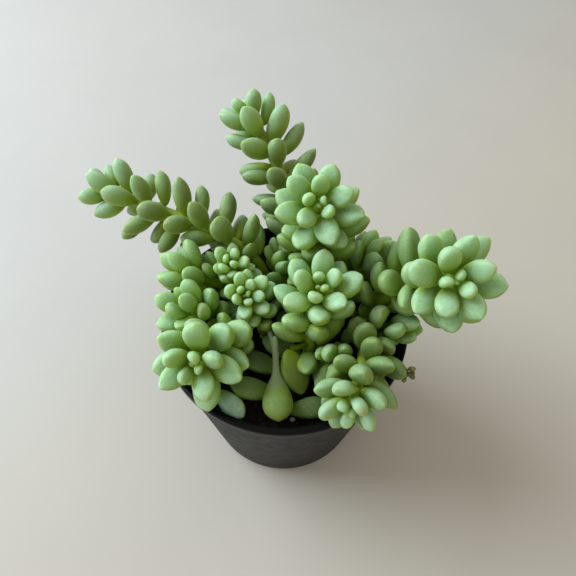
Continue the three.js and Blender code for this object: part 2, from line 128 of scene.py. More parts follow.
# Growth from the bud at a stem's tip down to its grown leaves, counted in leaves
GOLDEN_ANGLE = math.radians(137.508)
FULL_LEAF = 10.4
RIPEN_LENGTH = 5.8
LENGTH_SNAP = 1.5
RIPEN_WIDTH = 3.3
RIPEN_SEAT = 1.3
FIRST_LENGTH = 1.5
FIRST_WIDTH = 1
FIRST_SEAT = 0.6
PITCH = 1.1
CROWDED = 6
OPENING = 11
OPENING_SNAP = 2.2
BUD_TILT = 10
GROWN_TILT = 76
SEAT_RADIUS = 1.8
TURN_WANDER = 0.22
TILT_WANDER = 8
SIZE_WANDER = 0.09
BARE_FOOT = 0.02
GROWN = 99
YIELD = 16

# Scatter: the numbers that mix a row and a leaf's count, and the row that each quality adds
SCATTER_ROW = 127.1
SCATTER_COUNT = 311.7
SCATTER_START = 74.7
SCATTER_GAIN = 43758.5453
TILT_ROW = 7
SIZE_ROW = 13
LUCK_ROW = 29
TWIST_ROW = 41
POINT_ROW = 53

# Leaves lean away from each other, from the stems, the soil and the pot's lip
LEAN_ROUNDS = 60
SETTLE_ROUNDS = 12
LEAN_STEP = 0.9
LEAN_BACK = 0.06
EACH_TAKES = 0.5
ROOT_LEVER = 0.35
SQUEEZE = 0.86
CLEARANCE = 0.3
STEM_CLEARANCE = 0.5
NECK = 0.3
NEAR = 1
GROUND_SHARES = (0.5, 0.8, 1)
GROUND_PRESS = 1
STEM_LIMIT = 0.1
LEAF_LIMIT = 0.12
SHRINK = 0.94
SMALLEST = 0.6
TINY = 1e-9
PARALLEL = 1e-3

# Lowest height of a leaf at each distance from the middle
GROUND = (
    (0, SOIL_TOP + 1),
    (LIP_INSIDE - 3.7, SOIL_TOP + 0.5),
    (LIP_INSIDE - 0.7, POT_HEIGHT + 0.5),
    (LIP_RADIUS + 1, POT_HEIGHT + 0.5),
    (LIP_RADIUS + 3, POT_HEIGHT - 6),
    (LIP_RADIUS + 5, 0),
)

# Stems
STEM_RADIUS = 1.6
STEM_START = 1
STEM_RISE = 0.35
STEM_SIDES = 8
STEM_STRIDE = 3
FEWEST_STEPS = 6
STEM_TAPER = 5
STEM_TIP = 0.3
FOOT_DEPTH = 3
FOOT_RISE = 0.4
FOOT_STEPS = 2
FOOT_SLIMNESS = 0.98
STALK_SLIMNESS = 0.8
STALK_RINGS = 8
WALK_STEPS = 64
STEM_MARKS = 14
MARKED_SHARE = 0.93
STALK_STEPS = 6
LYING_MARKS = 8

# Each stem from its base over its bend to its tip, its leaves' count and length, and the first one's turn.
# A shoot starts at an older leaf, and shade is the painted shade that a head above casts on a stem's lower
# leaves; shaded shoots take a darker finish as painted shade.
SHADED = dict(yields=YIELD, slot="shaded_leaf")
STEMS = (
    dict(name="stem_long_left", base=(-5, 12), bend=(-25.5, 22, 57), tip=(-49.2, 31.4, 59.4),
         leaves=44, leaf=9.4, turn=0, tilt=72, pitch=1.45, finish="older_leaf"),
    dict(name="stem_long_back", base=(5, 17), bend=(0.5, 33, 61.5), tip=(-11, 45, 75),
         leaves=38, leaf=9.6, turn=40, tilt=72, pitch=1.35, finish="older_leaf"),
    dict(name="stem_back_rosette", base=(9, 9), bend=(7.5, 21, 62), tip=(6.8, 10, 76),
         leaves=38, leaf=10.2, turn=80, shade=0.25),
    dict(name="stem_middle_rosette", base=(5.5, -9.5), bend=(8, 0.5, 53), tip=(7.5, -4, 65),
         leaves=36, leaf=10.2, turn=20),
    dict(name="stem_young_rosette", base=(-5, -3), bend=(-10, 3.5, 50.5), tip=(-9, -2, 59),
         leaves=26, leaf=6.6, turn=60, slot="young_leaf"),
    dict(name="stem_front_left_rosette", base=(-13, -7), bend=(-19.2, -11.5, 50.5), tip=(-17.9, -19.5, 59),
         leaves=32, leaf=10.6, turn=10),
    dict(name="stem_right_rosette", base=(19, 1), bend=(36, 4, 60.5), tip=(32.3, -9, 75),
         leaves=44, leaf=11, turn=100, shade=0.25),
    dict(name="stem_front_right_rosette", base=(19.5, -6), bend=(17.8, -16, 53.5), tip=(13.4, -27.3, 57),
         leaves=30, leaf=8.8, turn=0, shade=0.8, finish="older_leaf"),
    dict(name="shoot_left", base=(-17.5, 2), bend=(-18.5, -3.5, 49.5), tip=(-21.8, -4.5, 56.5),
         leaves=18, leaf=9, turn=50, starts=5, **SHADED),
    dict(name="shoot_right", base=(17, 13), bend=(17.5, 10, 50), tip=(20.8, 11.5, 56),
         leaves=18, leaf=10, turn=30, starts=5, **SHADED),
    dict(name="shoot_young_left", base=(-10.4, 8), bend=(-12.8, 8.2, 51.5), tip=(-12.8, 6.4, 59.8),
         leaves=20, leaf=6.2, turn=0, starts=3, slot="young_leaf"),
    dict(name="shoot_back_left", base=(-16, 10), bend=(-18.5, 7, 51), tip=(-24.6, 7.3, 55),
         leaves=18, leaf=9.4, turn=30, starts=5, **SHADED),
    dict(name="shoot_middle", base=(1, 4), bend=(-2.5, 13, 48), tip=(-2.5, 13.5, 53),
         leaves=14, leaf=8, turn=30, starts=4, **SHADED),
    dict(name="shoot_low_right", base=(23.5, -1.5), bend=(23, -3, 47), tip=(23.5, -5, 53),
         leaves=12, leaf=9.6, turn=90, starts=6, **SHADED),
    dict(name="shoot_front", base=(13, -7), bend=(12, -11, 48), tip=(11.5, -14, 52),
         leaves=12, leaf=9.4, turn=140, starts=5, **SHADED),
    dict(name="dried_flower_stub", base=(23.5, -10.5), bend=(25, -13, 52), tip=(27.3, -17.2, 52.5),
         leaves=7, leaf=3, turn=0, radius=0.7, slot="dried_stalk"),
)

# Shed leaves: the middle's place, the heading in degrees, the length, and what sets their finish; tone,
# wax and waxy give each its own colour with painted light and shade where it lies, and shelter is painted
# shade
SHED_LEAVES = (
    dict(name="shed_leaf_middle", place=(-5.6, -11.8), heading=160, leaf=9.6,
         tone=1.35, waxy=0.65, shelter=0.25, wax=(0.26, 0.38, 0.25)),
    dict(name="shed_leaf_left", place=(-7.2, -18.6), heading=170, leaf=10,
         tone=1.7, waxy=0.75, shelter=0.1, wax=(0.33, 0.48, 0.28)),
    dict(name="shed_leaf_front", place=(-11.7, -22.3), heading=-43, leaf=8.8,
         tone=2.0, waxy=2.2, shelter=0, wax=(0.50, 0.74, 0.62)),
    dict(name="shed_leaf_right", place=(5.9, -22.7), heading=8, leaf=9,
         tone=1.05, waxy=0.55, shelter=0.3, wax=(0.28, 0.40, 0.25)),
)

# Two leaves hang down on stalks: one droops far over the soil on a long pale stalk
DROOPING = dict(name="drooping_leaf", stem="stem_young_rosette", root=(-5, -3, 49), bend=(-2.5, -9, 54),
                neck=(-1.6, -17.5, 50), tip=(-0.9, -26.6, 46.8), width=6.8, stalk=0.9, cage="stalked",
                joins=0.45, slot="young_leaf")
HANGING = dict(name="hanging_leaf", stem="stem_middle_rosette", root=(5.5, -8.5, 49), bend=(2, -8.5, 52.5),
               neck=(0.8, -11.8, 51.6), tip=(4, -19.9, 46.4), width=6.4, stalk=0.9, cage="pointed",
               joins=0, slot="leaf")

# Leaf cages before they are smoothed: shares of the length, and of the half width
LEAF_CAGES = dict(
    bud=((-0.13, 0.0), (0.14, 0.88), (0.55, 1.22), (0.90, 0.94), (1.0, 0.16), (1.0, 0.0)),
    blunt=((-0.14, 0.0), (0.15, 0.80), (0.54, 1.20), (0.86, 0.96), (0.99, 0.20), (1.01, 0.0)),
    pointed=((-0.14, 0.0), (0.16, 0.82), (0.50, 1.19), (0.82, 0.91), (0.975, 0.30), (1.03, 0.0)),
    stalked=((-0.92, 0.0), (-0.91, 0.24), (-0.40, 0.24), (-0.03, 0.27), (0.15, 0.66), (0.56, 1.22),
             (0.88, 0.98), (1.0, 0.16), (1.02, 0.0)),
)
LEAF_SIDES = 8
LEAF_LEVELS = 2
FACE_HEIGHT = 0.68
FACE_SHOULDER = 0.65
FACE_FLATNESS = 0.45
ROUND_FACED = "stalked"
LEAF_CURL = 0.20
LEAF_SAG = 0.02
LAST_BUD = 5
POINTED_SHARE = 0.4
LEAF_TWIST = math.radians(14)
BUD_SLIMNESS = 0.15
SLIMMEST_BUD = 2.5
SLIM_BUDS = 3

# What a leaf's finish follows: how ripe it is, how tucked in, for a painted glow and thinner wax where
# leaves touch, and how deep under the crown or a head, for painted shade
RIPE_AFTER = 9
TUCK_REACH = 0.22
CROWN_TOP = SOIL_TOP + 14
CROWN_FADE = 12
HEAD_LEAVES = 5
HEAD_FADE = 8
WINDOW_FADE = 22

# Stage and the photograph's view: its side in pixels, the sensor in millimetres, the rest in metres
PHOTO_SIDE = 576
SENSOR = 36
CLIP_START = 0.005
LOOKS_AT = (0.54 * MM, 8.4 * MM, POT_HEIGHT * MM)
FLOOR_REACH = 1.5
WINDOW_PLACE = (-0.50, 0.16, 0.47)
WINDOW_SIZE = 0.50
WINDOW_COLOUR = (0.88, 0.97, 1.0)
WINDOW_FACES = (0, 0, 0.04)
ROOM_COLOUR = (1.0, 0.93, 0.78, 1)


class PotSettings(bpy.types.PropertyGroup):
    """The pot's plastic."""
    steps: IntProperty(name="Steps", description="Steps round the pot", default=96, min=24)
    wall: FloatVectorProperty(name="Wall", description="Colour of the plastic", subtype="COLOR",
                              size=3, default=(0.0016, 0.0024, 0.0028))
    worn: FloatVectorProperty(name="Worn", description="Colour where the plastic is dusty or rubbed",
                              subtype="COLOR", size=3, default=(0.0170, 0.0163, 0.0142))


class SoilSettings(bpy.types.PropertyGroup):
    """The potting mix."""
    crumbs: IntProperty(name="Crumbs", description="Number of crumbs on top", default=1300, min=0)
    crumb: FloatProperty(name="Crumb", description="Radius of a middling crumb", subtype="DISTANCE",
                         default=0.00055, min=0)
    perlite: IntProperty(name="Perlite", description="Number of white grains", default=16, min=0)
    peat: FloatVectorProperty(name="Peat", description="Colour of damp peat", subtype="COLOR",
                              size=3, default=(0.007, 0.005, 0.004))
    bark: FloatVectorProperty(name="Bark", description="Colour of the paler crumbs", subtype="COLOR",
                              size=3, default=(0.036, 0.022, 0.013))
    grain: FloatVectorProperty(name="Grain", description="Colour of the white grains", subtype="COLOR",
                               size=3, default=(0.62, 0.60, 0.54))


class LeafSettings(bpy.types.PropertyGroup):
    """The leaves' flesh and the wax on it."""
    levels: IntProperty(name="Levels", description="Smoothing levels of the leaves", default=LEAF_LEVELS,
                        min=0, max=3)
    flesh: FloatVectorProperty(name="Flesh", description="Colour of a grown leaf", subtype="COLOR",
                               size=3, default=(0.250, 0.385, 0.018))
    young: FloatVectorProperty(name="Young", description="Colour of a bud", subtype="COLOR",
                               size=3, default=(0.300, 0.460, 0.110))
    root: FloatVectorProperty(name="Root", description="Colour at a leaf's root", subtype="COLOR",
                              size=3, default=(0.275, 0.425, 0.016))
    wax: FloatVectorProperty(name="Wax", description="Colour of the waxy bloom", subtype="COLOR",
                             size=3, default=(0.400, 0.655, 0.462))
    blush: FloatVectorProperty(name="Blush", description="Colour that a few tips blush to",
                               subtype="COLOR", size=3, default=(0.340, 0.230, 0.120))


class StageSettings(bpy.types.PropertyGroup):
    """Floor, lights and camera."""
    floor: FloatVectorProperty(name="Floor", description="Colour of the floor", subtype="COLOR",
                               size=3, default=(0.570, 0.548, 0.515))
    # Painted light: the floor's cooler colour towards the window
    window_side: FloatVectorProperty(name="Window side", description="Colour of the floor near the window",
                                     subtype="COLOR", size=3, default=(0.555, 0.560, 0.575))
    key: FloatProperty(name="Key", description="Power of the window light in watts", subtype="POWER",
                       default=5.0, min=0)
    fill: FloatProperty(name="Fill", description="Strength of the light from all round", default=0.55,
                        min=0)
    elevation: FloatProperty(name="Elevation", description="How far the camera looks down",
                             subtype="ANGLE", default=math.radians(53.3))
    distance: FloatProperty(name="Distance", description="From the camera to what it looks at",
                            subtype="DISTANCE", default=0.1289)
    roll: FloatProperty(name="Roll", description="Turn about the line of sight", subtype="ANGLE",
                        default=math.radians(1.28))
    focal_pixels: FloatProperty(name="Focal length", description="In pixels of the photograph",
                                subtype="PIXEL", default=505)


SETTINGS = {
    "burros_pot": PotSettings,
    "burros_soil": SoilSettings,
    "burros_leaf": LeafSettings,
    "burros_stage": StageSettings,
}


# The growth rule

def scatter(row, k):
    """Repeatable scatter between -1 and 1."""
    value = math.sin(row * SCATTER_ROW + k * SCATTER_COUNT + SCATTER_START) * SCATTER_GAIN
    return 2 * (value - math.floor(value)) - 1


def swell(t):
    """Share of a leaf's half width at share t of its length."""
    return math.sin(math.pi * t ** TIPWARD) ** PLUMPNESS


def soil_height(x, y):
    """Height of the soil's uneven top."""
    return (SOIL_TOP + SOIL_BUMP * math.sin(SOIL_SWELL_X[0] * x + SOIL_SWELL_X[1])
            * math.cos(SOIL_SWELL_Y[0] * y + SOIL_SWELL_Y[1]))


def wall_inside(z):
    """The pot's inner radius at height z."""
    return BASE_RADIUS + (WALL_TOP_RADIUS - BASE_RADIUS) * z / (POT_HEIGHT - LIP_HEIGHT) - WALL


def unit(v):
    return v / np.linalg.norm(v, axis=-1, keepdims=True)


class Curve:
    """A Bezier curve through its first and last point."""

    def __init__(self, *points):
        self.points = [np.array(p, float) for p in points]

    def at(self, t):
        level = self.points
        while len(level) > 1:
            level = [a * (1 - t) + b * t for a, b in zip(level, level[1:])]
        return level[0]

    def heading(self, t):
        steps = [b - a for a, b in zip(self.points, self.points[1:])]
        return unit(Curve(*steps).at(t))

    def back(self, distance):
        """The place, 0 to 1, that lies a distance back from the curve's end."""
        walked = 0
        here = self.at(1)
        for k in range(WALK_STEPS, 0, -1):
            ahead = self.at((k - 1) / WALK_STEPS)
            stride = np.linalg.norm(here - ahead)
            if walked + stride >= distance:
                return (k - (distance - walked) / stride) / WALK_STEPS
            walked += stride
            here = ahead
        return 0


def stem_curve(stem):
    base = np.array([*stem["base"], SOIL_TOP + STEM_START], float)
    tip = np.array(stem["tip"], float)
    rise = STEM_RISE * np.linalg.norm(tip - base)
    return Curve(base, base + [0, 0, rise], stem["bend"], tip)


def spread(age):
    """Leaves lie crowded at the bud and a full pitch apart further down."""
    return age - CROWDED * (1 - math.exp(-age / CROWDED))


def leaves_of(stem, number, curve):
    """The stem's leaves, from its tip down; a stem that has lost its buds starts at an older leaf."""
    size = stem["leaf"] / FULL_LEAF
    pitch = size * stem.get("pitch", PITCH)
    grown_tilt = stem.get("tilt", GROWN_TILT)
    oldest = stem.get("starts", 0)
    for i in range(stem["leaves"]):
        age = i + oldest
        place = curve.back(pitch * (spread(age) - spread(oldest)))
        if place < BARE_FOOT:
            break
        along = curve.heading(place)
        across = unit(np.cross(along, [0, 1, 0]))
        third = np.cross(along, across)
        turn = math.radians(stem["turn"]) + i * GOLDEN_ANGLE + TURN_WANDER * scatter(number, i)
        outward = across * math.cos(turn) + third * math.sin(turn)
        opened = 1 - math.exp(-((age / OPENING) ** OPENING_SNAP))
        wander = TILT_WANDER * scatter(number + TILT_ROW, i)
        tilt = math.radians(BUD_TILT + (grown_tilt - BUD_TILT) * opened + wander)
        grown = stem["leaf"] * (1 + SIZE_WANDER * scatter(number + SIZE_ROW, i))
        seat = SEAT_RADIUS * size * (1 - math.exp(-(age + FIRST_SEAT) / RIPEN_SEAT))
        yield dict(
            stem=number, order=age, rank=age + stem.get("yields", 0), fixed=False,
            root=curve.at(place) + outward * seat,
            heading=along * math.cos(tilt) + outward * math.sin(tilt),
            along=along,
            length=grown * (1 - math.exp(-(((age + FIRST_LENGTH) / RIPEN_LENGTH) ** LENGTH_SNAP))),
            width=grown * LEAF_WIDTH * (1 - math.exp(-(age + FIRST_WIDTH) / RIPEN_WIDTH)),
        )


def shed_leaf(leaf, number):
    width = leaf["leaf"] * LEAF_WIDTH
    angle = math.radians(leaf["heading"])
    heading = np.array([math.cos(angle), math.sin(angle), 0])
    root = np.array([*leaf["place"], 0]) - heading * leaf["leaf"] / 2
    for mark in range(LYING_MARKS + 1):
        share = mark / LYING_MARKS
        x, y, _ = root + heading * leaf["leaf"] * share
        below = (width / 2) * LEAF_THICKNESS * swell(share)
        root[2] = max(root[2], soil_height(x, y) + below)
    return dict(stem=number, order=GROWN, rank=GROWN, fixed=True, root=root, heading=heading,
                along=np.array([0, 0, 1.0]), length=leaf["leaf"], width=width)


def stem_number(leaf):
    return [stem["name"] for stem in STEMS].index(leaf["stem"])


def stalk_curve(leaf):
    return Curve(leaf["root"], leaf["bend"], leaf["neck"])


def stalked_leaf(leaf):
    root = np.array(leaf["neck"], float)
    line = np.array(leaf["tip"]) - root
    return dict(stem=stem_number(leaf), order=GROWN, rank=GROWN, fixed=True, root=root, heading=unit(line),
                along=np.array([0, 0, 1.0]), length=np.linalg.norm(line), width=leaf["width"])


class Foliage:
    """Every leaf, a column for each quality."""

    def __init__(self, rows):
        for quality in rows[0]:
            setattr(self, quality, np.array([row[quality] for row in rows]))
        self.scale = np.ones(len(rows))

    def __len__(self):
        return len(self.stem)

    def core(self, k):
        """Ends of the line from a leaf's neck to the middle of its round end."""
        length, width = self.length[k, None], self.width[k, None]
        near = self.root[k] + self.heading[k] * NECK * length
        return near, self.root[k] + self.heading[k] * (length - width / 2)

    def neighbours(self):
        first, second = np.triu_indices(len(self), 1)
        apart = np.linalg.norm(self.root[first] - self.root[second], axis=1)
        close = apart < self.length[first] + self.length[second] + NEAR
        return first[close], second[close]

    def shrink(self, k):
        self.length[k] *= SHRINK
        self.width[k] *= SHRINK
        self.scale[k] *= SHRINK

    def gone(self, k):
        return self.scale[k] < SMALLEST


def dot(a, b):
    return np.einsum("ij,ij->i", a, b)


def nearest(p, q, r, s):
    """Nearest places on lines p-q and r-s, as shares of their lengths."""
    u, v, w = q - p, s - r, p - r
    a, b, c, e, f = dot(u, u), dot(u, v), dot(u, w), dot(v, v), dot(v, w)
    skew = a * e - b * b
    crossing = skew > TINY
    first = np.where(crossing, np.clip((b * f - c * e) / np.where(crossing, skew, 1), 0, 1), 0)
    second = (b * first + f) / e
    first = np.where(second < 0, np.clip(-c / a, 0, 1), first)
    first = np.where(second > 1, np.clip((b - c) / a, 0, 1), first)
    return first, np.clip(second, 0, 1)


def leaf_gaps(leaf, i, j):
    """Between leaves i and j: ways apart, shares along both core lines, and distances."""
    (p, q), (r, s) = leaf.core(i), leaf.core(j)
    at, other = nearest(p, q, r, s)
    away = p + (q - p) * at[:, None] - r - (s - r) * other[:, None]
    return away, at, other, np.linalg.norm(away, axis=1)


def mark_gaps(leaf, k, marks):
    """Between leaves k and all marks: shares along the core lines, ways apart, distances and gaps."""
    near, far = leaf.core(k)
    line = (far - near)[:, None]
    out = marks["point"][None] - near[:, None]
    share = np.clip((out * line).sum(2) / (line * line).sum(2), 0, 1)
    away = -out + line * share[..., None]
    distance = np.linalg.norm(away, axis=2)
    return share, away, distance, distance - marks["radius"] - leaf.width[k, None] / 2


def ground_push(leaf, k, width):
    """How hard the ground lifts leaves k of this width."""
    push = 0
    radii, heights = zip(*GROUND)
    for share in GROUND_SHARES:
        point = leaf.root[k] + leaf.heading[k] * ((leaf.length[k] - width / 2) * share)[:, None]
        height = np.interp(np.hypot(point[:, 0], point[:, 1]), radii, heights)
        push = push + np.maximum(0, height + width / 2 - point[:, 2]) * EACH_TAKES * share
    return push


def lever(share):
    """A push near a leaf's tip turns it more than one near its root."""
    return ROOT_LEVER + (1 - ROOT_LEVER) * share


def lean(leaf, marks):
    """Turns the leaves about their roots until they stand clear of each other."""
    wanted_heading = leaf.heading.copy()
    i, j = leaf.neighbours()
    reach = (leaf.width[i] + leaf.width[j]) / 2
    wanted = np.where(leaf.stem[i] == leaf.stem[j], reach * SQUEEZE, reach + CLEARANCE)
    everyone = np.arange(len(leaf))
    foreign = leaf.stem[:, None] != marks["stem"][None]
    for turn in range(LEAN_ROUNDS):
        moves = np.zeros_like(leaf.heading)
        away, at, other, distance = leaf_gaps(leaf, i, j)
        distance = distance + TINY
        push = EACH_TAKES * np.maximum(0, wanted - distance) / distance
        np.add.at(moves, i, away * (push * lever(at))[:, None])
        np.add.at(moves, j, -away * (push * lever(other))[:, None])
        share, away, distance, gap = mark_gaps(leaf, everyone, marks)
        short = np.maximum(0, STEM_CLEARANCE - gap) * foreign
        moves += (away * (EACH_TAKES * short * lever(share) / (distance + TINY))[..., None]).sum(1)
        moves[:, 2] += ground_push(leaf, everyone, leaf.width)
        spring = LEAN_BACK if turn < LEAN_ROUNDS - SETTLE_ROUNDS else 0
        turned = leaf.heading + moves * (LEAN_STEP / leaf.length)[:, None]
        turned += (wanted_heading - leaf.heading) * spring
        leaf.heading = np.where(leaf.fixed[:, None], leaf.heading, unit(turned))


def touches(leaf, k, marks):
    """True if leaf k presses into the ground or into another stem."""
    pick = np.array([k])
    if ground_push(leaf, pick, leaf.width[pick] - GROUND_PRESS)[0] > 0:
        return True
    gap = mark_gaps(leaf, pick, marks)[3][0]
    return bool((gap[marks["stem"] != leaf.stem[k]] < STEM_LIMIT).any())


def make_room(leaf, marks):
    """Shrinks what still touches another stem's leaves, a stem or the ground."""
    for k in range(len(leaf)):
        while not leaf.fixed[k] and not leaf.gone(k) and touches(leaf, k, marks):
            leaf.shrink(k)
    for i, j in zip(*leaf.neighbours()):
        if leaf.stem[i] == leaf.stem[j]:
            continue
        first = leaf.fixed[j] or (not leaf.fixed[i] and leaf.rank[i] > leaf.rank[j])
        smaller = i if first else j
        while not (leaf.gone(i) or leaf.gone(j) or leaf.fixed[smaller]):
            gap = leaf_gaps(leaf, np.array([i]), np.array([j]))[3][0]
            if gap - (leaf.width[i] + leaf.width[j]) / 2 >= LEAF_LIMIT:
                break
            leaf.shrink(smaller)


def grow():
    """The stems' curves, and all the leaves in their final places."""
    curves = [stem_curve(stem) for stem in STEMS]
    spots = [
        (number, curve.at(MARKED_SHARE * k / (STEM_MARKS - 1)), stem.get("radius", STEM_RADIUS))
        for number, (stem, curve) in enumerate(zip(STEMS, curves))
        for k in range(STEM_MARKS)
    ]
    spots += [(stem_number(leaf), stalk_curve(leaf).at(k / STALK_STEPS), leaf["stalk"])
              for leaf in (HANGING, DROOPING) for k in range(STALK_STEPS + 1)]
    marks = {name: np.array(column) for name, column in zip(("stem", "point", "radius"), zip(*spots))}
    rows = [row for number, stem in enumerate(STEMS) for row in leaves_of(stem, number, curves[number])]
    rows += [shed_leaf(leaf, len(STEMS) + k) for k, leaf in enumerate(SHED_LEAVES)]
    rows += [stalked_leaf(HANGING), stalked_leaf(DROOPING)]
    leaf = Foliage(rows)
    lean(leaf, marks)
    make_room(leaf, marks)
    return curves, leaf


# Shapes

def linked(name, data):
    """A new object in the scene."""
    made = bpy.data.objects.new(name, data)
    bpy.context.scene.collection.objects.link(made)
    return made


def end_mesh(bm, name, finish=None):
    mesh = bpy.data.meshes.new(name)
    bm.to_mesh(mesh)
    bm.free()
    if finish:
        mesh.materials.append(finish)
    return mesh


def keep(bm, name, slot, finish, *nodes, levels=0):
    """Ends a bmesh as a smooth piece that stands for CAD nodes and takes its finish; the slot is not used.
    """
    mesh = end_mesh(bm, name, finish)
    mesh.shade_smooth()
    piece = linked(name, mesh)
    if levels:
        smooth = piece.modifiers.new("Smooth", "SUBSURF")
        smooth.levels = smooth.render_levels = levels
    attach(piece, "root")
    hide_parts(*nodes)
    return piece


def spin(bm, profile, steps, axis):
    """Turns [radius, height] points about an axis, Y or Z, and closes what lies on it."""
    place = (lambda r, h: (r, h, 0)) if axis == "Y" else (lambda r, h: (r, 0, h))
    verts = [bm.verts.new(place(*point)) for point in profile]
    edges = [bm.edges.new(pair) for pair in zip(verts, verts[1:])]
    turn = (0, 1, 0) if axis == "Y" else (0, 0, 1)
    bmesh.ops.spin(bm, geom=verts + edges, cent=(0, 0, 0), axis=turn, angle=math.tau, steps=steps,
                   use_merge=True)
    bmesh.ops.remove_doubles(bm, verts=bm.verts, dist=MERGE)


def leaf_template(cage):
    """One leaf a unit long and two wide, its root at the origin, its length along Y and its face up Z."""
    bm = bmesh.new()
    spin(bm, [(radius, along) for along, radius in LEAF_CAGES[cage]], LEAF_SIDES, "Y")
    bmesh.ops.recalc_face_normals(bm, faces=bm.faces)
    place = bm.verts.layers.float_vector.new("leaf_place")
    for v in bm.verts:
        v[place] = v.co
    for v in bm.verts:
        around = math.hypot(v.co.x, v.co.z)
        if v.co.z > TINY and cage != ROUND_FACED:
            v.co.x = math.copysign(around * abs(v.co.x / around) ** FACE_SHOULDER, v.co.x)
            v.co.z = FACE_HEIGHT * around * (v.co.z / around) ** FACE_FLATNESS
        v.co.z += LEAF_CURL * v.co.y ** 2 - LEAF_SAG
    return end_mesh(bm, "leaf_" + cage)


def leaf_templates():
    return {cage: leaf_template(cage) for cage in LEAF_CAGES}


def discard(templates):
    for mesh in templates.values():
        bpy.data.meshes.remove(mesh)


def placed(across, along, up, origin):
    """The matrix whose columns are these."""
    return Matrix([[*row] for row in np.array((across, along, up, origin)).T] + [[0, 0, 0, 1]])


def leaf_matrix(leaf, k):
    """Places the template where leaf k grows."""
    side = np.cross(leaf.heading[k], leaf.along[k])
    if np.linalg.norm(side) < PARALLEL:
        side = np.array([1.0, 0, 0])
    side = unit(side)
    face = np.cross(side, leaf.heading[k])
    twist = LEAF_TWIST * scatter(leaf.stem[k] + TWIST_ROW, leaf.order[k])
    turned_side = side * math.cos(twist) + face * math.sin(twist)
    turned_face = face * math.cos(twist) - side * math.sin(twist)
    slim = 1 - BUD_SLIMNESS * math.exp(-((leaf.order[k] - SLIMMEST_BUD) / SLIM_BUDS) ** 2)
    half = slim * leaf.width[k] / 2 * MM
    return placed(turned_side * half, leaf.heading[k] * leaf.length[k] * MM,
                  turned_face * half * LEAF_THICKNESS, leaf.root[k] * MM)


def tucked(leaf, k, points):
    """How closely another leaf lies on each of leaf k's points, 0 to 1."""
    others = np.flatnonzero(np.arange(len(leaf)) != k)
    if not len(others):
        return np.zeros(len(points))
    gap = mark_gaps(leaf, others, dict(point=points, radius=0))[3]
    return np.clip(1 - gap.min(0) / (TUCK_REACH * leaf.width[k]), 0, 1)


def add_leaf(bm, templates, leaf, k, sheltered, cage=None):
    """Adds leaf k and notes how ripe, lucky and sheltered it is."""
    if not cage:
        pointed = scatter(leaf.stem[k] + POINT_ROW, leaf.order[k]) < 2 * POINTED_SHARE - 1
        cage = "bud" if leaf.order[k] <= LAST_BUD else "pointed" if pointed else "blunt"
    shape = templates[cage].copy()
    shape.transform(leaf_matrix(leaf, k))
    ripe = 1 - math.exp(-leaf.order[k] / RIPE_AFTER)
    chance = 0.5 + 0.5 * scatter(leaf.stem[k] + LUCK_ROW, leaf.order[k])
    kind = shape.attributes.new("leaf_kind", "FLOAT_VECTOR", "POINT")
    kind.data.foreach_set("vector", (ripe, chance, sheltered) * len(shape.vertices))
    tuck = shape.attributes.new("leaf_tuck", "FLOAT", "POINT")
    tuck.data.foreach_set("value", tucked(leaf, k, np.array([v.co for v in shape.vertices]) / MM))
    bm.from_mesh(shape)
    bpy.data.meshes.remove(shape)


def sweep(bm, curve, radius_at, steps):
    """Adds a closed tube of changing radius along a curve."""
    ring = None
    for step in range(steps + 1):
        t = step / steps
        along = curve.heading(t)
        across = unit(np.cross(along, [0, 1, 0]))
        third = np.cross(along, across)
        radius = radius_at(t)
        place = placed(across * radius * MM, third * radius * MM, along * MM, curve.at(t) * MM)
        new = bmesh.ops.create_circle(bm, segments=STEM_SIDES, radius=1, cap_ends=step in (0, steps),
                                      matrix=place)["verts"]
        edges = list({e for v in new for e in v.link_edges})
        if ring:
            bmesh.ops.bridge_loops(bm, edges=ring + edges)
        ring = edges


def new_leafy_bmesh():
    bm = bmesh.new()
    bm.verts.layers.float_vector.new("leaf_place")
    bm.verts.layers.float_vector.new("leaf_kind")
    bm.verts.layers.float.new("leaf_tuck")
    return bm


# Finishes

# The Mix node's sockets for colours, which share their names with its other ones
MIX_INPUTS = (0, 6, 7)
MIX_RESULT = 2


